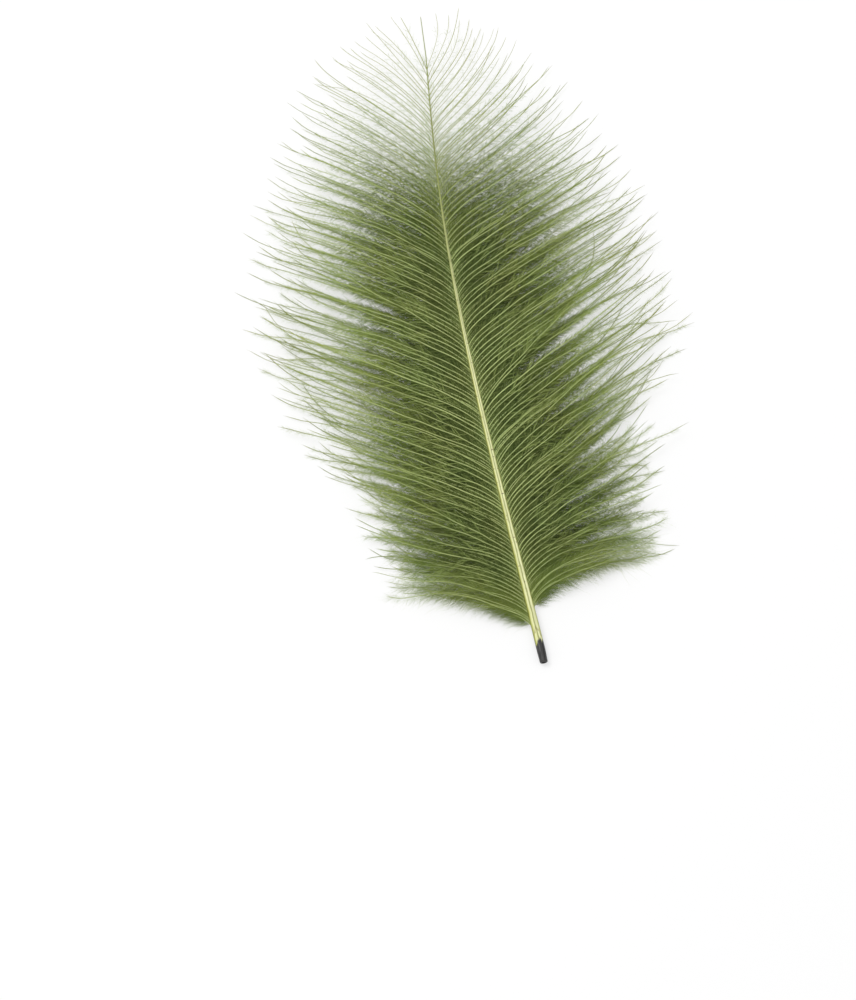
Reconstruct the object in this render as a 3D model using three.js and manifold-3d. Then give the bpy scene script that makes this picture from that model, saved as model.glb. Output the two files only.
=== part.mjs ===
// A cul de canard feather lying on its underside. A bowed, tapering shaft ends in a hollow quill butt,
// and a loose vane of barbs grows from each side of it, gathered here in tapering locks that run into
// each other at their roots. Millimetres, +Z up, +Y from the quill to the tip.

import * as THREE from 'three';
import Module from 'manifold-3d';

const wasm = await Module();
wasm.setup();

// Shaft
const SHAFT_LENGTH = 57; // quill butt to the end of the rachis
const END_BARB = 4.2; // the needle in which the rachis runs out
const SHAFT_BOW = 1.5; // sideways, to the left
const BOW_SKEW = 1.2; // above 1 the bow is deepest past the middle
const SHAFT_ARCH = 2; // how far the middle stands off the ground
const SHAFT_RADIUS = 0.4; // at the quill, without its flare
const RACHIS_END_RADIUS = 0.04;
const SHAFT_TAPER = 1.25; // exponent of the taper
const BUTT_FLARE = 0.04; // extra radius at the butt
const FLARE_LENGTH = 1.2;
const SHAFT_SIDES = 12;
const SHAFT_RINGS = 26;
const RING_GROWTH = 1.2; // exponent that sets the rings closer together at the quill
const GROOVE_DEPTH = 0.22; // of the radius, along the upper side of the rachis
const GROOVE_START = 0.1; // of the shaft's length, where the groove has run in
const HOLLOW_RADIUS = 0.55; // of the butt's radius
const HOLLOW_DEPTH = 1;

// Vanes. Angles are in degrees to the shaft, and a lock's bend turns it away from the feather's tip
// over its whole length, or towards it if the bend is negative.
const LEFT = {
  side: -1,
  start: 3.2,
  tipAngle: 45,
  fullAngle: 54,
  baseAngle: 64,
  tipBend: 10,
  fullBend: -14,
};
const RIGHT = {
  side: 1,
  start: 4.6,
  tipAngle: 36,
  fullAngle: 62,
  baseAngle: 78,
  tipBend: -46,
  fullBend: -10,
};
const VANE_END = 56.6;
const LOCKS_PER_SIDE = 34;
const ROOT_GAP = 0.05; // between a lock's root and the shaft's side
const ROOT_STEP = 0.04; // extra gap of every second root, so that roots don't share a plane
const TIP_LOCK_LENGTH = 4.9;
const FULL_LOCK_LENGTH = 23;
const LENGTH_RISE = 0.28; // of the vane, in which the locks below its tip near their full length
const BASE_SHORTENING = 0.55; // of that gain is missing in the lowest locks
const BASE_SHARE = 0.3; // of the vane, over which they make it up
const SWING_STEP = 2.4; // radians from lock to lock, in the wave by which they differ
const LENGTH_SWING = 0.12; // how much they differ in length
const LOCK_WIDTH = 1.4; // of the spacing of the roots, so that neighbours overlap
const LOCK_HALF_THICKNESS = 0.3;
const TIP_THINNING = 0.7; // of that is missing at the vane's tip
const LOCK_SIDES = 4;
const LOCK_SEGMENTS = 7;
const SEGMENT_GROWTH = 1.15; // exponent that makes the first segments the shorter ones
const POINTEDNESS = 2.2; // exponent of the taper, which a lower value starts nearer the root
const LOCK_HUMP = 2.25; // rise of a full-length lock between its root and the ground
const HUMP_SWING = 0.4; // how much they differ in that rise
const GROUND_SHARE = 0.83; // of a lock's length, where it has come down to the ground

const TAKE_OFF = 34; // angle at which the locks leave the shaft
const TURN_LENGTH = 1.2; // in which they turn from it to their own angle
const FAN_SHARE = 0.45; // of the vane, from its tip, in which the angle grows to its full value
const SPREAD_SHARE = 0.16; // of the vane, from its base, in which the angle falls to its full value
const CLOSING = 0.8; // of the angle is lost at the very tip, where locks close in on the shaft's line
const CLOSING_SHARE = 0.03;
const BASE_DROOP = 15; // extra bend of the lowest locks
const DROOP_SHARE = 0.14;

const PATH_STEPS = 84; // short straight steps that a lock's path is added up from

const smoothstep = (x, low, high) => THREE.MathUtils.smoothstep(x, low, high);
const lerp = THREE.MathUtils.lerp;
const radians = THREE.MathUtils.degToRad;

// The shaft's radius and centre line, at a distance along its chord from the butt

function shaftRadius(y) {
  const left = Math.max(0, 1 - y / SHAFT_LENGTH);
  const taper = (SHAFT_RADIUS - RACHIS_END_RADIUS) * left ** SHAFT_TAPER;
  return RACHIS_END_RADIUS + taper + BUTT_FLARE * (1 - smoothstep(y, 0, FLARE_LENGTH));
}

function shaftPoint(y) {
  const share = y / SHAFT_LENGTH;
  const x = -SHAFT_BOW * Math.sin(Math.PI * share ** BOW_SKEW);
  const arch = SHAFT_ARCH * Math.sin(Math.PI * share) ** 2;
  return new THREE.Vector3(x, y, shaftRadius(y) + arch);
}

// The direction of the shaft, of length 1 seen from above

function shaftSlope(y) {
  const reach = 0.01;
  const slope = shaftPoint(y + reach).sub(shaftPoint(Math.max(0, y - reach)));
  return slope.divideScalar(Math.hypot(slope.x, slope.y));
}

function shaftTangent(y) {
  return shaftSlope(y).setZ(0);
}

// A BufferGeometry from points and triangles of their indices

function geometryOf(points, triangles) {
  const geometry = new THREE.BufferGeometry().setFromPoints(points);
  geometry.setIndex(triangles);
  return geometry;
}

// Two triangles for each side between two rings, given by the index of their first points

function bridge(triangles, firstRing, secondRing, sides) {
  for (let i = 0; i < sides; i++) {
    const next = (i + 1) % sides;
    triangles.push(firstRing + i, firstRing + next, secondRing + next);
    triangles.push(firstRing + i, secondRing + next, secondRing + i);
  }
}

// One triangle for each side of a ring, up to a point

function fan(triangles, apex, ring, sides, reversed) {
  for (let i = 0; i < sides; i++) {
    const next = (i + 1) % sides;
    const [from, to] = reversed ? [next, i] : [i, next];
    triangles.push(apex, ring + from, ring + to);
  }
}

// One ring of the shaft's section at y, moved along the shaft by a depth

function shaftRing(y, radius, depth, grooved) {
  const centre = shaftPoint(y);
  const tangent = shaftTangent(y);
  const across = new THREE.Vector3(tangent.y, -tangent.x, 0);
  const share = y / SHAFT_LENGTH;
  const groove = GROOVE_DEPTH * smoothstep(share, 0, GROOVE_START) * (1 - share);
  return Array.from({ length: SHAFT_SIDES }, (_, i) => {
    const angle = Math.PI / 2 - (2 * Math.PI * i) / SHAFT_SIDES;
    const reach = radius * (grooved && i === 0 ? 1 - groove : 1);
    return centre
      .clone()
      .addScaledVector(across, reach * Math.cos(angle))
      .addScaledVector(tangent, depth)
      .setZ(centre.z + reach * Math.sin(angle));
  });
}

function shaftGeometry() {
  const points = [];
  const triangles = [];
  const rings = [];
  const addRing = (ring) => {
    rings.push(points.length);
    points.push(...ring);
  };
  const buttRadius = shaftRadius(0) * HOLLOW_RADIUS;
  addRing(shaftRing(0, buttRadius, HOLLOW_DEPTH, false));
  addRing(shaftRing(0, buttRadius, 0, false));
  for (let i = 0; i <= SHAFT_RINGS; i++) {
    const y = SHAFT_LENGTH * (i / SHAFT_RINGS) ** RING_GROWTH;
    addRing(shaftRing(y, shaftRadius(y), 0, true));
  }
  for (let i = 1; i < rings.length; i++) bridge(triangles, rings[i - 1], rings[i], SHAFT_SIDES);

  const hollowEnd = points.length;
  points.push(shaftPoint(0).addScaledVector(shaftTangent(0), HOLLOW_DEPTH));
  fan(triangles, hollowEnd, rings[0], SHAFT_SIDES, true);

  const needle = points.length;
  points.push(shaftPoint(SHAFT_LENGTH).addScaledVector(shaftTangent(SHAFT_LENGTH), END_BARB));
  fan(triangles, needle, rings.at(-1), SHAFT_SIDES, false);
  return geometryOf(points, triangles);
}

// The form of a lock that grows at a share of the vane's length, from 0 at its base to 1 at its tip

function lockForm(share, index, vane) {
  const gain = (FULL_LOCK_LENGTH - TIP_LOCK_LENGTH) * (1 - Math.exp((share - 1) / LENGTH_RISE));
  const base = 1 - BASE_SHORTENING * (1 - smoothstep(share, 0, BASE_SHARE));
  const swing = Math.sin(SWING_STEP * index + vane.side);
  const length = (TIP_LOCK_LENGTH + gain * base) * (1 + LENGTH_SWING * swing);
  const fan = lerp(vane.tipAngle, vane.fullAngle, smoothstep(1 - share, 0, FAN_SHARE));
  const spread = lerp(vane.baseAngle, fan, smoothstep(share, 0, SPREAD_SHARE));
  const droop = BASE_DROOP * (1 - smoothstep(share, 0, DROOP_SHARE));
  return {
    length,
    hump: LOCK_HUMP * (length / FULL_LOCK_LENGTH) * (1 - HUMP_SWING * swing),
    angle: spread * (1 - CLOSING * Math.exp((share - 1) / CLOSING_SHARE)),
    bend: lerp(vane.fullBend, vane.tipBend, share ** 3) + droop,
    halfThickness: LOCK_HALF_THICKNESS * (1 - TIP_THINNING * share),
  };
}

// Points along a lock, from its root on the shaft's side to its tip on the ground

function lockPath(root, tangent, side, form) {
  const heading = Math.atan2(tangent.x, tangent.y);
  const takeOff = Math.min(TAKE_OFF, form.angle);
  const path = [];
  const place = root.clone();
  for (let step = 0; step <= PATH_STEPS; step++) {
    const along = step / PATH_STEPS;
    const down = Math.min(1, along / GROUND_SHARE);
    const height = root.z * (1 - down ** 2) + 4 * form.hump * down * (1 - down);
    path.push(place.clone().setZ(height));
    const settled = 1 - Math.exp((-along * form.length) / TURN_LENGTH);
    const turned = takeOff + (form.angle - takeOff + form.bend * (along - 0.5)) * settled;
    const angle = heading + side * radians(turned);
    const stride = form.length / PATH_STEPS;
    place.x += stride * Math.sin(angle);
    place.y += stride * Math.cos(angle);
  }
  return path;
}

// A lock: a diamond section with its edges along the shaft, wide near the root and pointed at the tip

function lockGeometry(share, index, vane, spacing) {
  const side = vane.side;
  const y = lerp(vane.start, VANE_END, share);
  const form = lockForm(share, index, vane);
  const tangent = shaftTangent(y);
  const outwards = new THREE.Vector3(tangent.y, -tangent.x, 0).multiplyScalar(side);
  const gap = ROOT_GAP + (index % 2) * ROOT_STEP;
  const root = shaftPoint(y).addScaledVector(outwards, shaftRadius(y) + gap);
  const path = lockPath(root, tangent, side, form);
  const points = [];
  const triangles = [];
  for (let segment = 0; segment < LOCK_SEGMENTS; segment++) {
    const along = (segment / LOCK_SEGMENTS) ** SEGMENT_GROWTH;
    const centre = path[Math.round(along * PATH_STEPS)];
    const taper = 1 - along ** POINTEDNESS;
    const halfWidth = 0.5 * LOCK_WIDTH * spacing * taper;
    const thick = form.halfThickness * taper;
    const held = Math.max(0, 1 - along / GROUND_SHARE);
    const edge = shaftSlope(y).multiply(new THREE.Vector3(1, 1, held));
    const front = centre.clone().addScaledVector(edge, halfWidth);
    const back = centre.clone().addScaledVector(edge, -halfWidth);
    const ridge = centre.clone().setZ(centre.z + thick);
    const keel = centre.clone().setZ(Math.max(0, centre.z - thick));
    points.push(...(side > 0 ? [front, ridge, back, keel] : [front, keel, back, ridge]));
  }
  for (let ring = LOCK_SIDES; ring < points.length; ring += LOCK_SIDES) {
    bridge(triangles, ring - LOCK_SIDES, ring, LOCK_SIDES);
  }
  triangles.push(0, 3, 2, 0, 2, 1);
  const tip = points.length;
  points.push(path.at(-1));
  fan(triangles, tip, tip - LOCK_SIDES, LOCK_SIDES, false);
  return geometryOf(points, triangles);
}

// Joins

function solidOf(geometry) {
  const vertProperties = new Float32Array(geometry.getAttribute('position').array);
  const triVerts = new Uint32Array(geometry.index.array);
  return new wasm.Manifold(new wasm.Mesh({ numProp: 3, vertProperties, triVerts }));
}

function vaneGeometry(vane) {
  const spacing = (VANE_END - vane.start) / LOCKS_PER_SIDE;
  let whole = null;
  for (let i = 0; i < LOCKS_PER_SIDE; i++) {
    const lock = solidOf(lockGeometry((i + 0.5) / LOCKS_PER_SIDE, i, vane, spacing));
    whole = whole ? whole.add(lock) : lock;
  }
  const mesh = whole.getMesh();
  const geometry = new THREE.BufferGeometry();
  geometry.setAttribute('position', new THREE.BufferAttribute(mesh.vertProperties, mesh.numProp));
  geometry.setIndex(new THREE.BufferAttribute(mesh.triVerts, 1));
  return geometry;
}

// The feather

const keratin = { color: '#c9c87e', roughness: 0.4, metalness: 0 };
const barbs = { color: '#6f8247', roughness: 0.8, metalness: 0 };

function piece(name, geometry, look) {
  const mesh = new THREE.Mesh(geometry, new THREE.MeshStandardMaterial(look));
  mesh.name = name;
  return mesh;
}

const feather = new THREE.Group();
feather.add(piece('shaft', shaftGeometry(), keratin));
feather.add(piece('vane_left', vaneGeometry(LEFT), barbs));
feather.add(piece('vane_right', vaneGeometry(RIGHT), barbs));

// The origin is on the ground, under the middle of the feather's box

const box = new THREE.Box3().setFromObject(feather);
const middle = box.getCenter(new THREE.Vector3());
feather.position.set(-middle.x, -middle.y, -box.min.z);

export default feather;
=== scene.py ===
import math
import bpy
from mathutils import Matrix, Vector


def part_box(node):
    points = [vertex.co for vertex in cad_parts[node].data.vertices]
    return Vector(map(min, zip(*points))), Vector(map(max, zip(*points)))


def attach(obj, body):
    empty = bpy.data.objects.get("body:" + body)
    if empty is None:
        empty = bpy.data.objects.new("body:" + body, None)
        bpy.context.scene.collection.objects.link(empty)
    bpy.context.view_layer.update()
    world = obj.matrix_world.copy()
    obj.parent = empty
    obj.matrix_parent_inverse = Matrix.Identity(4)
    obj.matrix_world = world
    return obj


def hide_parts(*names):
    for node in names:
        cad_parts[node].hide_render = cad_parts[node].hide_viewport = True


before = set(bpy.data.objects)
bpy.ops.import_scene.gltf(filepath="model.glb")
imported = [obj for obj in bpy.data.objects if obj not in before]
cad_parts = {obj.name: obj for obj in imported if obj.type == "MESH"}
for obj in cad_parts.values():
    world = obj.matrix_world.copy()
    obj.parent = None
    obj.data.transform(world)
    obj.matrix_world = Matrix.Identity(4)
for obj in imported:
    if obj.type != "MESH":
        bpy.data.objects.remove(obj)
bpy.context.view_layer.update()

# A cul de canard feather on a pale floor. The shaft, every barb and the barbules on the barbs are
# meshes worked out here, in place of the solids of the same form. Lengths are in millimetres until
# a mesh is made, and y runs along the shaft from its butt. A share of the vane is 0 at its base and
# 1 at its tip, and a share of a barb is 0 at the shaft and 1 at its end.

from types import SimpleNamespace

import bpy
import numpy as np
from mathutils import Vector

MM = 0.001
UP = np.array([0.0, 0.0, 1.0])

# Shaft, as in the solid
SHAFT_LENGTH = 57.0
NEEDLE_LENGTH = 4.2  # of the fine point beyond the shaft's end
SHAFT_BOW = 1.5  # to the left
BOW_SKEW = 1.2  # above 1 the bow is deepest beyond the middle
SHAFT_ARCH = 2.0  # off the floor, at the middle
SHAFT_RADIUS = 0.365  # a little slimmer than the solid's
RACHIS_END_RADIUS = 0.04
NEEDLE_RADIUS = 0.025
SHAFT_TAPER = 1.25
BUTT_FLARE = -0.04  # narrower at the end, within the solid
SOLID_BUTT_RADIUS = 0.44
FLARE_LENGTH = 1.2
GROOVE_DEPTH = 0.22  # of the radius
GROOVE_WIDTH = 0.35  # in radians around the section
GROOVE_START = 0.1  # of the shaft, in which the groove deepens from nothing
HOLLOW_RADIUS = 0.55  # of the butt's radius
HOLLOW_DEPTH = 1.0
SHAFT_SIDES = 36
SHAFT_RINGS = 260
FIRST_RING = 0.002  # of the shaft's length
NEEDLE_RINGS = np.linspace(0.1, 0.95, 10)  # shares of the needle's length

# Rings of the butt from the end of the hollow out over the rim: the share of the butt's radius, and
# the depth
BUTT_RINGS = [
    (0.9 * HOLLOW_RADIUS, HOLLOW_DEPTH),
    (HOLLOW_RADIUS, 0.06),
    (HOLLOW_RADIUS + 0.1, 0.0),
    (0.86, 0.0),
    (0.96, 0.03),
]

# Vanes, as in the solids. Angles are in degrees from the shaft.
LEFT, RIGHT = -1, 1
VANE_START = {LEFT: 3.2, RIGHT: 4.6}
VANE_END = 56.6
TIP_BARB_LENGTH = 4.9
FULL_BARB_LENGTH = 23.0
LENGTH_RISE = 0.28  # of the vane, from the tip down, in which most of the length is gained
BASE_SHORTENING = 0.55  # of that gain, which the lowest barbs lack
BASE_SHARE = 0.3  # of the vane, from the base up, where barbs are shorter for that
BARB_HUMP = 1.7  # height of a full barb's arch
GROUND_SHARE = 0.9  # of a barb, where it has come down from the shaft's height
TAKE_OFF = 34.0  # angle at which a barb leaves the shaft
TURN_LENGTH = 1.2  # in which it turns to its own angle
TIP_ANGLE = {LEFT: 45.0, RIGHT: 36.0}
FULL_ANGLE = {LEFT: 54.0, RIGHT: 62.0}
FAN_SHARE = 0.45  # of the vane, from the tip down, in which the first turns into the second
BASE_ANGLE = {LEFT: 64.0, RIGHT: 84.0}
SPREAD_SHARE = 0.16  # of the vane, from the base up, in which that turns into the full angle
CLOSING = 0.8  # of the angle, taken off at the very tip
CLOSING_SHARE = 0.045  # of the vane, from the tip down, in which most of that ends
FULL_BEND = {LEFT: -14.0, RIGHT: -10.0}  # degrees that a barb turns from its root to its end
TIP_BEND = {LEFT: 10.0, RIGHT: -46.0}
TIP_BEND_POWER = 3
BASE_DROOP = {LEFT: 15.0, RIGHT: 30.0}
DROOP_SHARE = 0.14  # of the vane, from the base up, where barbs turn back for that

# Barbs: their number, where they start and their form
SEED = {LEFT: 11, RIGHT: 23}
BARBS_PER_SIDE = 201
ROOT_JITTER = 0.25  # of the distance from one barb to the next
TIP_SPREAD = 0.71  # below 1 the barbs stand further apart towards the tip
ROOT_INSET = 0.8  # of the shaft's radius, where they start
BARB_STEPS = 30
ALONG_BARB = np.linspace(0.0, 1.0, BARB_STEPS + 1) ** 1.3  # closer steps near the shaft
BARB_SIDES = 4
ROOT_CAP = np.array([[0, 3, 2], [0, 2, 1]])  # closes the first ring of a barb
BARB_RADIUS = 0.042
BARB_END_RADIUS = 0.024
BARB_UNEVENNESS = (0.75, 1.2)  # of the radius, from barb to barb
ROOT_SWELL = 0.4  # of the radius more, right at the shaft
ROOT_SWELL_SHARE = 0.02  # of a barb
TIP_SLIMNESS = 0.6  # of the radius, at the feather's tip
TIP_ZONE = (0.6, 0.95)  # shares of the vane between which barbs turn slim and smooth
BARB_CLEARANCE = 0.04  # least height above the floor
ROW_MARGIN = 0.15  # of a barb's row on the flat map
END_MARGIN = 0.01  # of the map, at both ends of the rows

# How the barbs differ. Every other barb is an upper one, which lies on its neighbours and is painted
# lighter, as if it caught more light. Where it says tip and base, the first value is the one at the
# feather's tip and the second the one at its base.
LENGTH_RANGE = (0.78, 1.03)  # of the solid's length
EVEN_ZONE = (0.85, 1.0)  # shares of the vane between which the lengths become even
SWAPPED_SHARE = 0.1  # of the barbs, upper or lower out of turn
ANGLE_SPREAD = (1.5, 4.0)  # degrees, tip and base
UPPER_SPREAD = 0.35  # of that, for the upper barbs
CURL_SPREAD = (7.0, 17.0)  # degrees, tip and base
CURL_POWER = 3  # the curl gathers towards a barb's end
STRAY_SHARE = 0.07  # of the barbs
STRAY_LENGTH = 1.06
STRAY_CURL = 40.0
STRAY_ANGLE = 5.0
HUMP_RANGE = (0.35, 0.6)  # of the solid's arch
UPPER_HUMP = 0.55  # more of it for the upper barbs
END_HEIGHT = 1.5  # of the highest ends above the floor
END_HEIGHT_POWER = 3  # most ends are far lower
SWAY_RANGE = (0.5, 1.0)  # of the sway, which is in degrees
TIP_SWAY = 2.0
BASE_SWAY = 3.0  # more, which grows evenly to the base
LOWEST_SWAY = 12.0  # more, for hardly any but the lowest barbs
LOWEST_SWAY_POWER = 5
SWAY_WAVES = (0.8, 2.2)  # along a barb
RIPPLE = 4.5  # degrees, on every barb
RIPPLE_LENGTH = (3.0, 7.0)  # from one ripple to the next
RIPPLE_LEFT = 0.25  # of the ripple, at a barb's end and at the feather's tip
SHADE_SPREAD = 0.6
# Painted light: the upper barbs are made lighter, as if they caught more light than the lower ones
UPPER_PAINTED_LIGHT = 0.4  # lighter
# Painted shade: barbs at the base are made darker, as if in shadow
BASE_PAINTED_SHADE = 0.6  # of the shade, at the base
BASE_PAINTED_SHADE_ZONE = (0.05, 0.25)  # shares of the vane between which that ends
PALE_ZONE = (0.7, 0.95)  # shares of the vane between which all barbs turn to the lightest shade

# Steps from barb to barb in three even mixes, none of which comes round again soon, and the noise
# on them
ANGLE_STRIDE = 0.618
CURL_STRIDE = 0.755
LENGTH_STRIDE = 0.57
MIX_NOISE = 0.1

# Barbules, in layers from the lowest up: each layer's share of them, the mean and the spread of
# their angles to the level and to the barb, their length, the share of it that they have right at
# the shaft, half their width and their shades. The shades are painted shade and light: the lowest
# layer is painted darkest, as if in the shadow of those above, and the top layer lightest.
BARBULES_PER_MM = 78  # on both edges of a barb together
LAYERS = [
    {
        "share": 0.85,
        "lift": (-45, 10),
        "lean": (46, 11),
        "length": 1.2,
        "root_length": 0.9,
        "half_width": 0.02,
        "shade": (0.0, 0.2),
    },
    {
        "share": 0.1,
        "lift": (-24, 8),
        "lean": (38, 12),
        "length": 1.4,
        "root_length": 0.45,
        "half_width": 0.016,
        "shade": (0.2, 0.6),
    },
    {
        "share": 0.05,
        "lift": (-7, 6),
        "lean": (25, 11),
        "length": 2.1,
        "root_length": 0.45,
        "half_width": 0.022,
        "shade": (0.6, 1.0),
    },
]
TOP_LAYER_START = (1.5, 5.0)  # from the shaft, between which the top layer sets in
FIRST_BARBULE = 0.01  # of a barb
BARBULE_REACH = (0.8, 0.97)  # of a barb, as far as its barbules go
ROOT_CROWDING = 1.7  # above 1 they stand closer near the shaft
END_LEAN = 0.85  # of the angle to the barb, at the barb's end
ROOT_LEAN = 55.0  # degrees more at the shaft for the lowest layer, so that it closes the gap there
ROOT_LEAN_LENGTH = 1.5  # from the shaft
ROOT_LENGTH = 0.8  # from the shaft, up to where the barbules are shorter
LENGTH_UNEVENNESS = (0.6, 1.15)
WIDTH_UNEVENNESS = (0.7, 1.2)
ROLL_SPREAD = 25.0  # degrees about a barbule's own length
BARBULE_SHOULDER = 0.35  # of its length, where a barbule is widest
BARBULE_ARCH = 0.05  # of its length, how far the shoulder stands off a straight line
BARBULE_CLEARANCE = 0.01  # least height above the floor
SLIVER = np.array([[0, 1, 3], [1, 2, 3]])  # triangles of one barbule
SLIVER_CORNERS = np.array([[0.1, 0.5], [0.4, 0.2], [0.9, 0.5], [0.4, 0.8]])  # in a cell of the map

# How barbules change from place to place, as shares of what they are elsewhere
TIP_FUZZ_ZONE = (0.5, 0.9)  # shares of the vane between which they turn to those of the tip
TIP_REACH = 0.7  # of a barb
TIP_DENSITY = 0.08
TIP_LENGTH = 0.8
TIP_WIDTH = 0.35
BASE_FUZZ_ZONE = (0.05, 0.3)  # shares of the vane between which those of the base end
BASE_DENSITY = 1.36
BASE_WIDTH = 0.8
BASE_TANGLE = 14.0  # degrees, how much more the barbules of the base cross each other
LOWEST_SHARE = 0.08  # of the vane, where they are wisps
WISP_LENGTH = 1.5
WISP_WIDTH = 0.4
WISP_TONE = 0.45
FINER_FUZZ = (3.0, 16.0)  # from the shaft, between which they turn finer
FINER_LENGTH = 0.5
FINER_WIDTH = 0.18

# Where the colours of barbs and barbules change from those at the shaft to those at the ends: by
# the distance from the shaft, and by the share of the vane
BARB_FADE = (4.5, 22.0)
# For the barbules this is where the painted shade near the shaft fades out
BARBULE_FADE = (3.0, 15.0)
TIP_FADE = (0.55, 0.92)

# Colours of barbs and barbules from the ends of the barbs inwards to the shaft, for the darkest of
# them and for the lightest. For the barbules the darkest are painted shade for those low in the fuzz
# and the lightest painted light for those on top, and both turn darker towards the shaft as painted
# shade where the fuzz is thickest.
BARB_DARK_STOPS = [(0.0, (0.21, 0.24, 0.055)), (0.5, (0.25, 0.3, 0.095)), (1.0, (0.35, 0.41, 0.15))]
BARB_LIGHT_STOPS = [(0.0, (0.36, 0.385, 0.1)), (0.5, (0.42, 0.5, 0.165)), (1.0, (0.55, 0.635, 0.25))]
BARBULE_SHADED_STOPS = [(0.0, (0.24, 0.325, 0.06)), (1.0, (0.033, 0.052, 0.007))]
BARBULE_LIT_STOPS = [(0.0, (0.42, 0.51, 0.14)), (1.0, (0.31, 0.39, 0.115))]

# Surface of barbs and barbules. Their gloss is well below the shaft's, which is 0.5.
BARB_GLOSS = 0.12
BARB_ROUGHNESS = (0.4, 0.6)
BARBULE_ROUGHNESS = (0.5, 0.7)
BARB_HUES = (0.493, 0.507)  # 0.5 leaves the colour as it is
BARB_VALUES = (0.88, 1.12)
BARB_BUMP_STRENGTH = 0.3
BARB_BUMP_DEPTH = 0.01

# Bands of colour across the upper side of the shaft, from its left edge to its right edge: its own
# straw and olive, with painted shade darkening both edges and the groove down the middle, and
# painted highlights in the pale bands beside the groove
BAND_AND_PAINTED_LIGHT_STOPS = [
    (0.0, (0.13, 0.15, 0.02)),
    (0.12, (0.19, 0.21, 0.03)),
    (0.24, (0.5, 0.52, 0.12)),
    (0.33, (0.8, 0.82, 0.42)),
    (0.43, (0.76, 0.77, 0.38)),
    (0.51, (0.24, 0.25, 0.06)),
    (0.59, (0.85, 0.87, 0.5)),
    (0.7, (0.82, 0.84, 0.46)),
    (0.79, (0.52, 0.54, 0.13)),
    (0.9, (0.2, 0.22, 0.03)),
    (1.0, (0.13, 0.15, 0.02)),
]
BAND_WAVER = 0.03  # in the measure that is -0.5 at the left edge and 0.5 at the right edge

# Marks on the shaft and its surface. Heights are along the shaft from its butt.
FLECK_COLOUR = (0.40, 0.41, 0.14)
FLECK_STRENGTH = 0.4
FLECK_NOISE = (0.35, 0.6)  # full at the first value and gone at the second
GREEN_COLOUR = (0.27, 0.31, 0.085)
GREEN_START, GREEN_END = 26.0, 46.0
SPECK_COLOUR = (0.13, 0.11, 0.03)
SPECK_STRENGTH = 0.7
SPECK_NOISE = (0.75, 0.8)  # none at the first value and full at the second
RAGGEDNESS = 1.1  # how unevenly the marks of the quill end
MARK_COLOUR = (0.19, 0.16, 0.04)
MARK_STRENGTH = 0.65
MARK_START, MARK_MIDDLE, MARK_END = 2.2, 2.4, 2.7
MARK_SLOPE = 2.6  # how far the mark comes down from the middle of the shaft to the side
DARK_START, DARK_FULL = 1.4, 1.2
CHARCOAL_STOPS = [(0.42, (0.008, 0.0075, 0.0075)), (0.7, (0.05, 0.048, 0.046))]
NOTCH_PLACE = -0.3  # across the shaft, left of the middle
NOTCH_EDGE, NOTCH_CORE = 0.14, 0.04  # from there, where the notch begins and is full
NOTCH_DEPTH = 0.5
SHAFT_ROUGHNESS = (0.3, 0.5)
SHAFT_BUMP_STRENGTH = 0.35
SHAFT_BUMP_DEPTH = 0.03

# Noise, most of whose values lie between the first two: its features to the millimetre along X, Y
# and Z, and its detail
NOISE_LOW, NOISE_HIGH = 0.3, 0.7
BARB_PATCHES = ((0.3, 0.3, 0.3), 3.0)
BARB_GRAIN = ((8.0, 8.0, 8.0), 2.0)
SHAFT_STREAKS = ((9.0, 0.35, 9.0), 3.0)
SHAFT_PATCHES = ((2.5, 1.3, 2.5), 2.0)
SHAFT_SPECKS = ((4.5, 5.0, 4.5), 0.0)

# Stage, in metres
WHITE = (1.0, 1.0, 1.0, 1.0)
FLOOR_HALF = 1.5
FLOOR_COLOUR = (0.38, 0.38, 0.38, 1.0)
FLOOR_ROUGHNESS = 0.8
FLOOR_GLOW = 0.58
SKY_STRENGTH = 0.75
KEY_SIZE = 0.35
KEY_POWER = 2.1
KEY_PLACE = (-0.3, 0.25, 0.55)

# Camera, at the photograph's viewing angle
CAMERA_ELEVATION = 68.0
CAMERA_AZIMUTH = -9.578
CAMERA_DISTANCE = 228.62
CAMERA_AIM = (-6.816, 15.549)  # from the shaft's butt
LENS = 100.0
SENSOR = 36.0
CLIP_START = 10.0

shaft_low, shaft_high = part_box("shaft")


def smoothstep(x, low, high):
    t = np.clip((x - low) / (high - low), 0.0, 1.0)
    return t * t * (3.0 - 2.0 * t)


def lerp(a, b, t):
    return a + (b - a) * t


def unit(v):
    return v / np.linalg.norm(v, axis=-1, keepdims=True)


def column(values):
    """One value for each barb or barbule, to go with its own row of values or points."""
    return values[:, None]


# The shaft's line


def shaft_radius(y):
    left = np.clip(1.0 - y / SHAFT_LENGTH, 0.0, 1.0)
    taper = (SHAFT_RADIUS - RACHIS_END_RADIUS) * left**SHAFT_TAPER
    flare = BUTT_FLARE * (1.0 - smoothstep(y, 0.0, FLARE_LENGTH))
    return RACHIS_END_RADIUS + taper + flare


def shaft_point(y):
    share = np.clip(y / SHAFT_LENGTH, 0.0, 1.0)
    x = -SHAFT_BOW * np.sin(math.pi * share**BOW_SKEW)
    z = shaft_radius(y) + SHAFT_ARCH * np.sin(math.pi * share) ** 2
    return np.stack([x, y, z], axis=-1)


def shaft_tangent(y):
    """The shaft's level direction, from two points close to each other."""
    reach = 0.01
    slope = shaft_point(y + reach) - shaft_point(np.maximum(0.0, y - reach))
    slope[..., 2] = 0.0
    return unit(slope)


# Meshes from arrays


def placed(points):
    """Millimetres along the shaft's own axes, as metres in the frame."""
    butt = np.array([shaft_high.x / MM - SOLID_BUTT_RADIUS, shaft_low.y / MM, 0.0])
    return (points + butt) * MM


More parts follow.
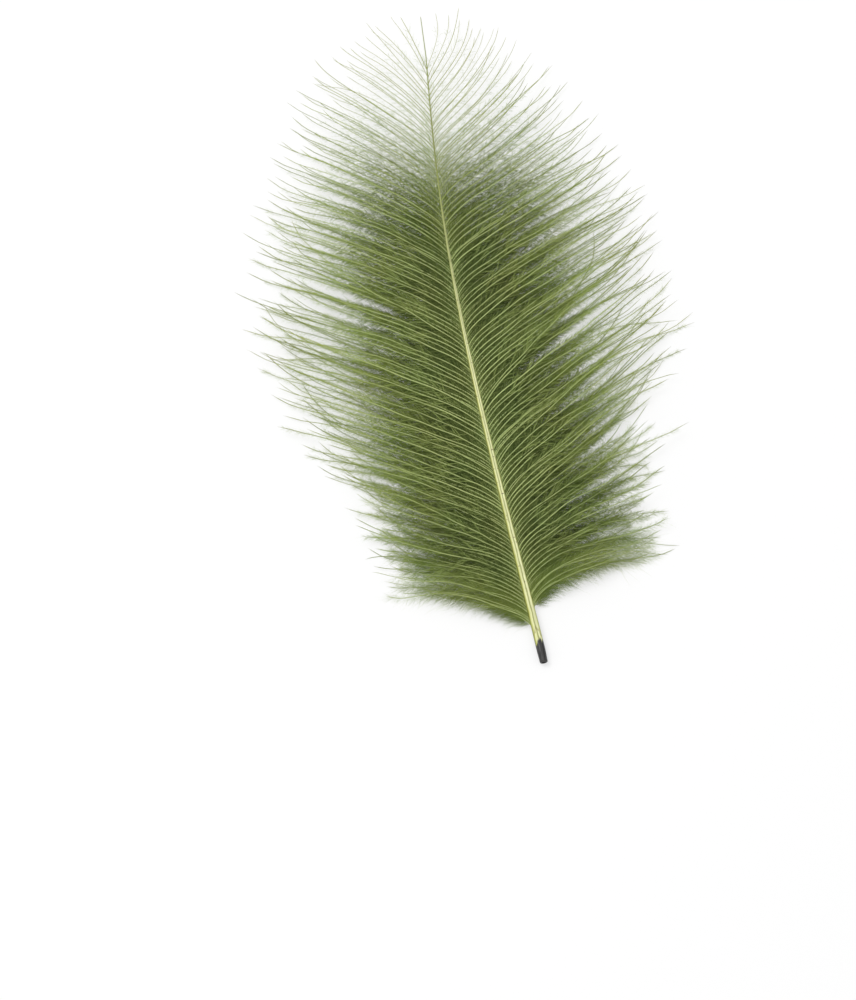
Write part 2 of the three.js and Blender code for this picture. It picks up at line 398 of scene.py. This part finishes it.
def mesh_object(name, points, triangles, attributes, flat_map=None):
    """An object with a value of each attribute at each point, and a place for it on a flat map."""
    mesh = bpy.data.meshes.new(name)
    mesh.vertices.add(len(points))
    mesh.vertices.foreach_set("co", placed(points).astype(np.float32).ravel())
    mesh.loops.add(triangles.size)
    mesh.loops.foreach_set("vertex_index", triangles.astype(np.int32).ravel())
    mesh.polygons.add(len(triangles))
    mesh.polygons.foreach_set("loop_start", np.arange(0, triangles.size, 3, dtype=np.int32))
    mesh.polygons.foreach_set("use_smooth", np.ones(len(triangles), dtype=bool))
    for key, values in attributes.items():
        layer = mesh.attributes.new(key, "FLOAT", "POINT")
        layer.data.foreach_set("value", values.astype(np.float32).ravel())
    if flat_map is not None:
        corners = mesh.uv_layers.new(name="OFBake").data
        corners.foreach_set("uv", flat_map[triangles].astype(np.float32).ravel())
    mesh.update(calc_edges=True)
    made = bpy.data.objects.new(name, mesh)
    bpy.context.scene.collection.objects.link(made)
    return made


def ring_triangles(rings, sides):
    """Triangles between rings of points that follow each other, facing out if they wind to the right."""
    ring = np.arange(rings - 1)[:, None] * sides
    here = np.arange(sides)[None, :]
    after = (here + 1) % sides
    first, second = ring + here, ring + after
    lower = np.stack([first, second, second + sides], axis=-1)
    upper = np.stack([first, second + sides, first + sides], axis=-1)
    return np.concatenate([lower.reshape(-1, 3), upper.reshape(-1, 3)])


def fan_triangles(apex, ring, sides, turned):
    """Triangles from a ring of points to one point."""
    here = ring + np.arange(sides)
    after = ring + (np.arange(sides) + 1) % sides
    tip = np.full(sides, apex)
    return np.stack([tip, after, here] if turned else [tip, here, after], axis=-1)


# Shaft


def shaft_ring(y, radius, depth):
    """A ring of the shaft's section, with the groove along its upper side."""
    centre = shaft_point(y)
    tangent = shaft_tangent(y)
    across = np.array([tangent[1], -tangent[0], 0.0])
    share = y / SHAFT_LENGTH
    groove = GROOVE_DEPTH * smoothstep(share, 0.0, GROOVE_START) * (1.0 - share)
    turn = math.pi / 2 - 2 * math.pi * np.arange(SHAFT_SIDES) / SHAFT_SIDES
    reach = radius * (1.0 - groove * np.exp(-(((turn - math.pi / 2) / GROOVE_WIDTH) ** 2)))
    ring = centre + tangent * depth + across * column(reach * np.cos(turn))
    ring[:, 2] += reach * np.sin(turn)
    return ring


def make_shaft():
    """The shaft, with "around" from 0 along its top to -1 and 1 along its underside."""
    start, end = np.float64(0.0), np.float64(SHAFT_LENGTH)
    butt = shaft_radius(start)
    rings = [shaft_ring(start, butt * radius, depth) for radius, depth in BUTT_RINGS]
    for y in SHAFT_LENGTH * np.linspace(FIRST_RING, 1.0, SHAFT_RINGS):
        rings.append(shaft_ring(y, shaft_radius(y), 0.0))
    for share in NEEDLE_RINGS:
        radius = lerp(RACHIS_END_RADIUS, NEEDLE_RADIUS, share)
        rings.append(shaft_ring(end, radius, NEEDLE_LENGTH * share))
    count = len(rings) * SHAFT_SIDES
    hollow_end = shaft_point(start) + shaft_tangent(start) * HOLLOW_DEPTH
    needle = shaft_point(end) + shaft_tangent(end) * NEEDLE_LENGTH
    points = np.concatenate([*rings, hollow_end[None], needle[None]])
    triangles = np.concatenate(
        [
            ring_triangles(len(rings), SHAFT_SIDES),
            fan_triangles(count, 0, SHAFT_SIDES, True),
            fan_triangles(count + 1, count - SHAFT_SIDES, SHAFT_SIDES, False),
        ]
    )
    turn = np.linspace(0.0, 1.0, SHAFT_SIDES, endpoint=False)
    around = np.append(np.tile(turn, len(rings)), [0.0, 0.0])
    around = np.where(around > 0.5, around - 1.0, around) * 2.0
    return mesh_object("quill_and_rachis", points, triangles, {"around": around})


# Barbs


def barb_lengths(share):
    gain = (FULL_BARB_LENGTH - TIP_BARB_LENGTH) * (1.0 - np.exp((share - 1.0) / LENGTH_RISE))
    base = 1.0 - BASE_SHORTENING * (1.0 - smoothstep(share, 0.0, BASE_SHARE))
    return TIP_BARB_LENGTH + gain * base


def barb_angles(side, share):
    fan = lerp(TIP_ANGLE[side], FULL_ANGLE[side], smoothstep(1.0 - share, 0.0, FAN_SHARE))
    spread = lerp(BASE_ANGLE[side], fan, smoothstep(share, 0.0, SPREAD_SHARE))
    return spread * (1.0 - CLOSING * np.exp((share - 1.0) / CLOSING_SHARE))


def barb_bends(side, share):
    droop = BASE_DROOP[side] * (1.0 - smoothstep(share, 0.0, DROOP_SHARE))
    return lerp(FULL_BEND[side], TIP_BEND[side], share**TIP_BEND_POWER) + droop


def even_mix(rng, count, stride):
    """Values from -1 to 1, of which the barbs that grow side by side always get an even mix."""
    even = 2.0 * ((np.arange(count) * stride + rng.uniform()) % 1.0) - 1.0
    return even + rng.normal(0.0, MIX_NOISE, count)


def grow_barbs(side):
    """What sets each barb on one side apart: an array of one value for each barb under each name."""
    rng = np.random.default_rng(SEED[side])
    count = BARBS_PER_SIDE
    order = (np.arange(count) + 0.5 + rng.uniform(-ROOT_JITTER, ROOT_JITTER, count)) / count
    share = 1.0 - (1.0 - order) ** TIP_SPREAD
    back = 1.0 - share

    uneven = lerp(*LENGTH_RANGE, 0.5 + 0.5 * even_mix(rng, count, LENGTH_STRIDE))
    length = barb_lengths(share) * lerp(uneven, 1.0, smoothstep(share, *EVEN_ZONE))
    upper = (np.arange(count) + (rng.uniform(0.0, 1.0, count) < SWAPPED_SHARE)) % 2
    spread = lerp(*ANGLE_SPREAD, back) * lerp(1.0, UPPER_SPREAD, upper)
    angle = barb_angles(side, share) + even_mix(rng, count, ANGLE_STRIDE) * spread
    stray = rng.uniform(0.0, 1.0, count) < STRAY_SHARE
    angle += stray * rng.normal(0.0, STRAY_ANGLE, count)
    length *= np.where(stray, STRAY_LENGTH, 1.0)
    curl_spread = np.where(stray, STRAY_CURL, lerp(*CURL_SPREAD, back))
    curl = even_mix(rng, count, CURL_STRIDE) * curl_spread
    arch = rng.uniform(*HUMP_RANGE, count) + UPPER_HUMP * upper
    end_height = END_HEIGHT * rng.uniform(0.0, 1.0, count) ** END_HEIGHT_POWER
    most_sway = TIP_SWAY + BASE_SWAY * back + LOWEST_SWAY * back**LOWEST_SWAY_POWER
    sway = rng.uniform(*SWAY_RANGE, count) * most_sway
    sway_waves = rng.uniform(*SWAY_WAVES, count)
    sway_start = rng.uniform(0.0, 2 * math.pi, count)
    ripples = length / rng.uniform(*RIPPLE_LENGTH, count)
    ripple_start = rng.uniform(0.0, 2 * math.pi, count)
    # Shade: a random spread, plus painted light on the upper barbs
    shade = rng.uniform(0.0, SHADE_SPREAD, count) + UPPER_PAINTED_LIGHT * upper
    # Painted shade: darker towards the base
    shade *= lerp(BASE_PAINTED_SHADE, 1.0, smoothstep(share, *BASE_PAINTED_SHADE_ZONE))

    return SimpleNamespace(
        share=share,
        y=lerp(VANE_START[side], VANE_END, share),
        length=length,
        angle=angle,
        bend=barb_bends(side, share),
        curl=curl,
        hump=BARB_HUMP * (length / FULL_BARB_LENGTH) * arch,
        end_height=end_height,
        sway=sway,
        sway_waves=sway_waves,
        sway_start=sway_start,
        ripples=ripples,
        ripple_start=ripple_start,
        shade=lerp(shade, 1.0, smoothstep(share, *PALE_ZONE)),
    )


def barb_angles_along(barbs):
    """Angles to the shaft (barb, step) in degrees."""
    turns = 2 * math.pi * ALONG_BARB
    settled = 1.0 - np.exp(-ALONG_BARB * column(barbs.length) / TURN_LENGTH)
    take_off = column(np.minimum(TAKE_OFF, barbs.angle))
    bent = column(barbs.bend) * (ALONG_BARB - 0.5)
    swept = take_off + (column(barbs.angle) - take_off + bent) * settled
    sway = np.sin(turns * column(barbs.sway_waves) + column(barbs.sway_start))
    sway *= column(barbs.sway) * ALONG_BARB
    ripple = np.sin(turns * column(barbs.ripples) + column(barbs.ripple_start))
    ripple *= RIPPLE * settled * lerp(1.0, RIPPLE_LEFT, ALONG_BARB)
    ripple *= column(lerp(1.0, RIPPLE_LEFT, smoothstep(barbs.share, *TIP_ZONE)))
    return swept + sway + ripple + column(barbs.curl) * ALONG_BARB**CURL_POWER


def barb_paths(side, barbs):
    """Points (barb, step, 3) of the barbs on one side."""
    tangent = shaft_tangent(barbs.y)
    start = np.arctan2(tangent[:, 0], tangent[:, 1])
    heading = column(start) + side * np.radians(barb_angles_along(barbs))
    middle = (heading[:, 1:] + heading[:, :-1]) / 2
    stride = np.diff(ALONG_BARB) * column(barbs.length)
    outwards = np.stack([tangent[:, 1], -tangent[:, 0], 0 * barbs.y], axis=-1) * side
    root = shaft_point(barbs.y) + outwards * column(ROOT_INSET * shaft_radius(barbs.y))
    paths = np.zeros((len(stride), BARB_STEPS + 1, 3))
    paths[:, 1:, 0] = np.cumsum(stride * np.sin(middle), axis=1)
    paths[:, 1:, 1] = np.cumsum(stride * np.cos(middle), axis=1)
    paths[:, :, :2] += root[:, None, :2]
    down = np.minimum(1.0, ALONG_BARB / GROUND_SHARE)
    paths[:, :, 2] = (
        column(root[:, 2]) * (1.0 - down**2)
        + 4.0 * column(barbs.hump) * down * (1.0 - down)
        + column(barbs.end_height) * ALONG_BARB**2
    )
    paths[:, :, 2] = np.maximum(paths[:, :, 2], BARB_CLEARANCE)
    return paths


def section_frames(paths):
    """Directions along, across and upwards from each point of the paths."""
    tangent = unit(np.gradient(paths, axis=1))
    across = unit(np.cross(tangent, UP))
    return tangent, across, np.cross(across, tangent)


def path_lengths(paths):
    return np.linalg.norm(np.diff(paths, axis=1), axis=2).sum(axis=1)


def inner_tone(share, distance, fade):
    """1 near the shaft and low down the feather, and 0 at the ends of the barbs and at the tip."""
    return (1.0 - smoothstep(distance, *fade)) * (1.0 - smoothstep(share, *TIP_FADE))


def make_barbs(name, seed, paths, share, shade):
    """Threads along the paths, each closed at its root and pointed at its end."""
    rng = np.random.default_rng(seed)
    count = len(paths)
    _, across, upwards = section_frames(paths)
    slim = lerp(1.0, TIP_SLIMNESS, smoothstep(share, *TIP_ZONE)) * rng.uniform(*BARB_UNEVENNESS, count)
    swell = 1.0 + ROOT_SWELL * np.exp(-ALONG_BARB / ROOT_SWELL_SHARE)
    radius = column(slim) * lerp(BARB_RADIUS, BARB_END_RADIUS, ALONG_BARB**2) * swell
    turn = -2 * math.pi * np.arange(BARB_SIDES) / BARB_SIDES
    sideways = across[:, :BARB_STEPS, None] * column(np.cos(turn))
    upright = upwards[:, :BARB_STEPS, None] * column(np.sin(turn))
    rings = paths[:, :BARB_STEPS, None] + (sideways + upright) * radius[:, :BARB_STEPS, None, None]
    points = np.concatenate([rings.reshape(count, -1, 3), paths[:, -1:, :]], axis=1)
    per_barb = points.shape[1]
    one = np.concatenate(
        [
            ring_triangles(BARB_STEPS, BARB_SIDES),
            fan_triangles(per_barb - 1, per_barb - 1 - BARB_SIDES, BARB_SIDES, False),
            ROOT_CAP,
        ]
    )
    triangles = one[None] + (np.arange(count) * per_barb)[:, None, None]
    along_points = np.append(np.repeat(ALONG_BARB[:BARB_STEPS], BARB_SIDES), 1.0)
    distance = along_points * column(path_lengths(paths))
    attributes = {
        "tone": inner_tone(column(share), distance, BARB_FADE),
        "shade": np.repeat(shade, per_barb),
    }
    # On the flat map each barb has a row of its own, with a gap to the next
    in_row = np.linspace(ROW_MARGIN, 1.0 - ROW_MARGIN, BARB_SIDES)
    in_row = np.append(np.tile(in_row, BARB_STEPS), 0.5)
    rows = (column(np.arange(count)) + in_row) / count
    along_rows = np.tile(lerp(END_MARGIN, 1.0 - END_MARGIN, along_points), count)
    flat_map = np.stack([along_rows, rows.ravel()], axis=-1)
    return mesh_object(name, points.reshape(-1, 3), triangles.reshape(-1, 3), attributes, flat_map)


# Barbules


def place_barbules(rng, lengths, share):
    """Where each barbule grows: its barb, its share of the barb and how far out it is, and its zones."""
    near_tip = smoothstep(share, *TIP_FUZZ_ZONE)
    near_base = 1.0 - smoothstep(share, *BASE_FUZZ_ZONE)
    lowest = 1.0 - smoothstep(share, 0.0, LOWEST_SHARE)
    reach = lerp(rng.uniform(*BARBULE_REACH, len(share)), TIP_REACH, near_tip)
    density = lerp(1.0, TIP_DENSITY, near_tip) * lerp(1.0, BASE_DENSITY, near_base)
    counts = (lengths * reach * density * BARBULES_PER_MM).astype(int)
    barb = np.repeat(np.arange(len(counts)), counts)
    inner = rng.uniform(0.0, 1.0, len(barb)) ** ROOT_CROWDING
    where = FIRST_BARBULE + inner * reach[barb]
    distance = where * lengths[barb]
    return SimpleNamespace(
        barb=barb,
        count=len(barb),
        share=share[barb],
        inner=inner,
        where=where,
        distance=distance,
        outwards=smoothstep(distance, *FINER_FUZZ),
        near_tip=near_tip[barb],
        near_base=near_base[barb],
        lowest=lowest[barb],
    )


def pick_layers(rng, spots):
    """The layer of each barbule. The top layer begins a little way from the shaft."""
    top = len(LAYERS) - 1
    shares = np.cumsum([layer["share"] for layer in LAYERS])
    layer = np.minimum(np.searchsorted(shares, rng.uniform(size=spots.count)), top)
    too_near = spots.distance < rng.uniform(*TOP_LAYER_START, spots.count)
    return np.where((layer == top) & too_near, top - 1, layer)


def by_layer(layer, key):
    return np.array([one[key] for one in LAYERS], dtype=float)[layer]


def around_mean(rng, layer, key):
    mean, spread = by_layer(layer, key).T
    return rng.normal(mean, spread)


def barbule_ways(rng, spots, layer, tangent, across, upwards):
    """Directions of the barbules, from the directions of the barb where they grow."""
    edge = np.where(rng.uniform(size=spots.count) < 0.5, -1.0, 1.0)
    swung = ROOT_LEAN * (layer == 0) * (1.0 - smoothstep(spots.distance, 0.0, ROOT_LEAN_LENGTH))
    swung *= (1.0 - spots.lowest) * (1.0 - spots.near_tip)
    tangle = rng.normal(0.0, BASE_TANGLE, spots.count) * spots.near_base
    lean = around_mean(rng, layer, "lean") * lerp(1.0, END_LEAN, spots.inner) + swung + tangle
    lean = column(np.radians(lean))
    lift = column(np.radians(around_mean(rng, layer, "lift")))
    sideways = across * column(edge) * np.cos(lift) + upwards * np.sin(lift)
    return tangent * np.cos(lean) + sideways * np.sin(lean)


def barbule_sizes(rng, spots, layer):
    """Lengths and half widths of the barbules."""
    from_root = smoothstep(spots.distance, 0.0, ROOT_LENGTH)
    length = by_layer(layer, "length") * lerp(by_layer(layer, "root_length"), 1.0, from_root)
    length *= lerp(1.0, FINER_LENGTH, spots.outwards) * rng.uniform(*LENGTH_UNEVENNESS, spots.count)
    length *= lerp(1.0, WISP_LENGTH, spots.lowest) * lerp(1.0, TIP_LENGTH, spots.near_tip)
    half_width = by_layer(layer, "half_width") * rng.uniform(*WIDTH_UNEVENNESS, spots.count)
    half_width *= lerp(1.0, FINER_WIDTH, spots.outwards) * lerp(1.0, TIP_WIDTH, spots.near_tip)
    half_width *= lerp(1.0, BASE_WIDTH, spots.near_base) * lerp(1.0, WISP_WIDTH, spots.lowest)
    return column(length), column(half_width)


def make_barbules(name, seed, paths, share):
    """Slivers on both edges of each barb, which lean towards its end."""
    rng = np.random.default_rng(seed)
    spots = place_barbules(rng, path_lengths(paths), share)
    layer = pick_layers(rng, spots)
    step = np.clip(np.searchsorted(ALONG_BARB, spots.where) - 1, 0, BARB_STEPS - 1)
    part = column((spots.where - ALONG_BARB[step]) / (ALONG_BARB[step + 1] - ALONG_BARB[step]))
    root = lerp(paths[spots.barb, step], paths[spots.barb, step + 1], part)
    here = [directions[spots.barb, step] for directions in section_frames(paths)]
    way = barbule_ways(rng, spots, layer, *here)
    length, half_width = barbule_sizes(rng, spots, layer)

    level = unit(np.cross(way, UP))
    above = np.cross(level, way)
    roll = column(np.radians(rng.normal(0.0, ROLL_SPREAD, spots.count)))
    breadth = (level * np.cos(roll) + above * np.sin(roll)) * half_width
    shoulder = root + (way * BARBULE_SHOULDER + above * BARBULE_ARCH) * length
    points = np.stack([root, shoulder + breadth, root + way * length, shoulder - breadth], axis=1)
    points[:, :, 2] = np.maximum(points[:, :, 2], BARBULE_CLEARANCE)
    corners = points.shape[1]
    triangles = SLIVER[None] + corners * np.arange(spots.count)[:, None, None]
    # Painted shade: the lower a barbule's layer, the darker its shade
    shade = rng.uniform(*by_layer(layer, "shade").T)
    # Painted shade: tone darkens the barbules near the shaft, where the fuzz is thickest; the wisps of
    # the lowest barbs get less of it
    tone = inner_tone(spots.share, spots.distance, BARBULE_FADE) * lerp(1.0, WISP_TONE, spots.lowest)
    attributes = {"tone": np.repeat(tone, corners), "shade": np.repeat(shade, corners)}
    # On the flat map each barbule has a square cell of its own
    cells = math.ceil(math.sqrt(spots.count))
    cell = np.stack(np.divmod(np.arange(spots.count), cells), axis=-1)[:, None]
    flat_map = ((cell + SLIVER_CORNERS) / cells).reshape(-1, 2)
    return mesh_object(name, points.reshape(-1, 3), triangles.reshape(-1, 3), attributes, flat_map)


# Nodes of materials


def new_material(name):
    material = bpy.data.materials.new(name)
    material.use_nodes = True
    nodes = material.node_tree.nodes
    return material, nodes, material.node_tree.links, nodes["Principled BSDF"]


def colour_ramp(nodes, links, factor, stops):
    ramp = nodes.new("ShaderNodeValToRGB")
    elements = ramp.color_ramp.elements
    while len(elements) < len(stops):
        elements.new(0.5)
    for element, (position, colour) in zip(elements, stops):
        element.position = position
        element.color = (*colour, 1.0)
    links.new(factor, ramp.inputs["Fac"])
    return ramp.outputs["Color"]


def attribute(nodes, name):
    node = nodes.new("ShaderNodeAttribute")
    node.attribute_name = name
    return node.outputs["Fac"]


def math_node(nodes, links, operation, first, second=0.0):
    node = nodes.new("ShaderNodeMath")
    node.operation = operation
    for socket, value in zip(node.inputs, (first, second)):
        if isinstance(value, (int, float)):
            socket.default_value = value
        else:
            links.new(value, socket)
    return node.outputs["Value"]


def map_range(nodes, links, value, low, high, to_low=0.0, to_high=1.0):
    node = nodes.new("ShaderNodeMapRange")
    links.new(value, node.inputs["Value"])
    node.inputs["From Min"].default_value = low
    node.inputs["From Max"].default_value = high
    node.inputs["To Min"].default_value = to_low
    node.inputs["To Max"].default_value = to_high
    return node.outputs["Result"]


def noise_texture(nodes, links, per_mm, detail):
    """Noise with so many features to the millimetre along X, Y and Z."""
    place = nodes.new("ShaderNodeTexCoord")
    stretch = nodes.new("ShaderNodeMapping")
    stretch.inputs["Scale"].default_value = [features / MM for features in per_mm]
    links.new(place.outputs["Object"], stretch.inputs["Vector"])
    noise = nodes.new("ShaderNodeTexNoise")
    noise.inputs["Scale"].default_value = 1.0
    noise.inputs["Detail"].default_value = detail
    links.new(stretch.outputs["Vector"], noise.inputs["Vector"])
    return noise.outputs["Fac"]


def from_noise(nodes, links, noise, low, high):
    """Noise, spread from low to high."""
    return map_range(nodes, links, noise, NOISE_LOW, NOISE_HIGH, low, high)


def mix_colour(nodes, links, factor, first, second):
    node = nodes.new("ShaderNodeMix")
    node.data_type = "RGBA"
    links.new(factor, node.inputs["Factor"])
    for name, value in (("A", first), ("B", second)):
        if isinstance(value, tuple):
            node.inputs[name].default_value = (*value, 1.0)
        else:
            links.new(value, node.inputs[name])
    return node.outputs["Result"]


def add_bump(nodes, links, shader, height, strength, depth):
    bump = nodes.new("ShaderNodeBump")
    bump.inputs["Strength"].default_value = strength
    bump.inputs["Distance"].default_value = depth * MM
    links.new(height, bump.inputs["Height"])
    links.new(bump.outputs["Normal"], shader.inputs["Normal"])


# Materials


def barb_material(name, dark_stops, light_stops, roughness):
    """Colour by tone and shade, a little uneven. The shade mixes a darker and a lighter copy of the
    colours, and carries painted light and shade as well as a random spread.
    """
    material, nodes, links, shader = new_material(name)
    shader.inputs["Specular IOR Level"].default_value = BARB_GLOSS
    dark = colour_ramp(nodes, links, attribute(nodes, "tone"), dark_stops)
    light = colour_ramp(nodes, links, attribute(nodes, "tone"), light_stops)
    colour = mix_colour(nodes, links, attribute(nodes, "shade"), dark, light)
    patches = noise_texture(nodes, links, *BARB_PATCHES)
    grain = noise_texture(nodes, links, *BARB_GRAIN)
    tint = nodes.new("ShaderNodeHueSaturation")
    links.new(from_noise(nodes, links, patches, *BARB_HUES), tint.inputs["Hue"])
    links.new(from_noise(nodes, links, grain, *BARB_VALUES), tint.inputs["Value"])
    links.new(colour, tint.inputs["Color"])
    links.new(tint.outputs["Color"], shader.inputs["Base Color"])
    links.new(from_noise(nodes, links, grain, *roughness), shader.inputs["Roughness"])
    add_bump(nodes, links, shader, grain, BARB_BUMP_STRENGTH, BARB_BUMP_DEPTH)
    return material


def shaft_material():
    material, nodes, links, shader = new_material("keratin_shaft")
    place = nodes.new("ShaderNodeTexCoord")
    axis = nodes.new("ShaderNodeSeparateXYZ")
    links.new(place.outputs["Object"], axis.inputs["Vector"])
    y = axis.outputs["Y"]
    streaks = noise_texture(nodes, links, *SHAFT_STREAKS)
    patches = noise_texture(nodes, links, *SHAFT_PATCHES)

    def between(value, low, high):
        """0 to 1 between two heights above the butt, or down from the first where it is the higher."""
        return map_range(nodes, links, value, shaft_low.y + low * MM, shaft_low.y + high * MM)

    # Lengthwise bands around the section, the shaft's own colour with painted shade at its edges and in
    # its groove and painted highlights beside the groove, which waver a little and have faint flecks
    waver = from_noise(nodes, links, patches, -BAND_WAVER, BAND_WAVER)
    around = math_node(nodes, links, "ADD", attribute(nodes, "around"), waver)
    colour = colour_ramp(nodes, links, map_range(nodes, links, around, -0.5, 0.5), BAND_AND_PAINTED_LIGHT_STOPS)
    fleck = map_range(nodes, links, streaks, *FLECK_NOISE, FLECK_STRENGTH, 0.0)
    colour = mix_colour(nodes, links, fleck, colour, FLECK_COLOUR)

    # The rachis turns green towards the tip
    colour = mix_colour(nodes, links, between(y, GREEN_START, GREEN_END), colour, GREEN_COLOUR)

    # Small dark specks, and a brown mark like a roof above the dark end
    speck_noise = noise_texture(nodes, links, *SHAFT_SPECKS)
    specks = map_range(nodes, links, speck_noise, *SPECK_NOISE, 0.0, SPECK_STRENGTH)
    colour = mix_colour(nodes, links, specks, colour, SPECK_COLOUR)
    ragged = math_node(nodes, links, "MULTIPLY", streaks, RAGGEDNESS * MM)
    height = math_node(nodes, links, "SUBTRACT", y, ragged)
    off_middle = math_node(nodes, links, "ABSOLUTE", around)
    slope = math_node(nodes, links, "MULTIPLY", off_middle, MARK_SLOPE * MM)
    roof = math_node(nodes, links, "ADD", height, slope)
    rise = between(roof, MARK_START, MARK_MIDDLE)
    fall = between(roof, MARK_END, MARK_MIDDLE)
    mark = math_node(nodes, links, "MULTIPLY", rise, fall)
    mark = math_node(nodes, links, "MULTIPLY", mark, MARK_STRENGTH)
    colour = mix_colour(nodes, links, mark, colour, MARK_COLOUR)

    # Charcoal end with grey streaks and a pale notch in its edge
    charcoal = colour_ramp(nodes, links, streaks, CHARCOAL_STOPS)
    from_notch = math_node(nodes, links, "ADD", around, -NOTCH_PLACE)
    from_notch = math_node(nodes, links, "ABSOLUTE", from_notch)
    notch = map_range(nodes, links, from_notch, NOTCH_EDGE, NOTCH_CORE, 0.0, NOTCH_DEPTH * MM)
    height = math_node(nodes, links, "ADD", height, notch)
    colour = mix_colour(nodes, links, between(height, DARK_START, DARK_FULL), colour, charcoal)

    links.new(colour, shader.inputs["Base Color"])
    links.new(from_noise(nodes, links, streaks, *SHAFT_ROUGHNESS), shader.inputs["Roughness"])
    add_bump(nodes, links, shader, streaks, SHAFT_BUMP_STRENGTH, SHAFT_BUMP_DEPTH)
    return material


def dress(piece, material, slot, *nodes):
    piece.data.materials.append(material)
    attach(piece, "root")
    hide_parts(*nodes)


# Stage


def make_floor():
    """A pale floor that glows a little, so that it comes out white."""
    mesh = bpy.data.meshes.new("floor")
    half = FLOOR_HALF
    corners = [(-half, -half, 0), (half, -half, 0), (half, half, 0), (-half, half, 0)]
    mesh.from_pydata(corners, [], [(0, 1, 2, 3)])
    floor = bpy.data.objects.new("floor", mesh)
    bpy.context.scene.collection.objects.link(floor)
    material, _, _, shader = new_material("pale_floor")
    shader.inputs["Base Color"].default_value = FLOOR_COLOUR
    shader.inputs["Roughness"].default_value = FLOOR_ROUGHNESS
    shader.inputs["Emission Color"].default_value = WHITE
    shader.inputs["Emission Strength"].default_value = FLOOR_GLOW
    mesh.materials.append(material)


def make_lights():
    """An even white sky, and one soft lamp from the upper left."""
    world = bpy.data.worlds.new("studio")
    bpy.context.scene.world = world
    world.use_nodes = True
    sky = world.node_tree.nodes["Background"]
    sky.inputs["Color"].default_value = WHITE
    sky.inputs["Strength"].default_value = SKY_STRENGTH
    light = bpy.data.lights.new("key", "AREA")
    light.size = KEY_SIZE
    light.energy = KEY_POWER
    lamp = bpy.data.objects.new("key", light)
    lamp.location = KEY_PLACE
    lamp.rotation_euler = (-lamp.location).to_track_quat("-Z", "Y").to_euler()
    bpy.context.scene.collection.objects.link(lamp)


def make_camera():
    data = bpy.data.cameras.new("camera")
    data.lens = LENS
    data.sensor_width = SENSOR
    data.clip_start = CLIP_START * MM
    azimuth, elevation = math.radians(CAMERA_AZIMUTH), math.radians(CAMERA_ELEVATION)
    back = Vector(
        (
            math.sin(azimuth) * math.cos(elevation),
            -math.cos(azimuth) * math.cos(elevation),
            math.sin(elevation),
        )
    )
    camera = bpy.data.objects.new("camera", data)
    aim = Vector(placed(np.array([*CAMERA_AIM, 0.0])))
    camera.location = aim + back * CAMERA_DISTANCE * MM
    camera.rotation_euler = back.to_track_quat("Z", "Y").to_euler()
    bpy.context.scene.collection.objects.link(camera)
    bpy.context.scene.camera = camera


make_camera()
make_floor()
make_lights()
bpy.context.scene.view_settings.view_transform = "Standard"

dress(make_shaft(), shaft_material(), "shaft", "shaft")
barb_look = barb_material("barbs", BARB_DARK_STOPS, BARB_LIGHT_STOPS, BARB_ROUGHNESS)
barbule_look = barb_material("barbules", BARBULE_SHADED_STOPS, BARBULE_LIT_STOPS, BARBULE_ROUGHNESS)
third = BARBS_PER_SIDE // 3
for side, word in ((LEFT, "left"), (RIGHT, "right")):
    grown = grow_barbs(side)
    paths = barb_paths(side, grown)
    barbs = make_barbs(f"barbs_{word}", SEED[side] + 4, paths, grown.share, grown.shade)
    dress(barbs, barb_look, "barbs", f"vane_{word}")
    for number, place in enumerate(("lower", "middle", "upper")):
        some = slice(number * third, (number + 1) * third)
        seed = SEED[side] + 1 + number
        barbules = make_barbules(f"barbules_{word}_{place}", seed, paths[some], grown.share[some])
        dress(barbules, barbule_look, "barbs", f"vane_{word}")
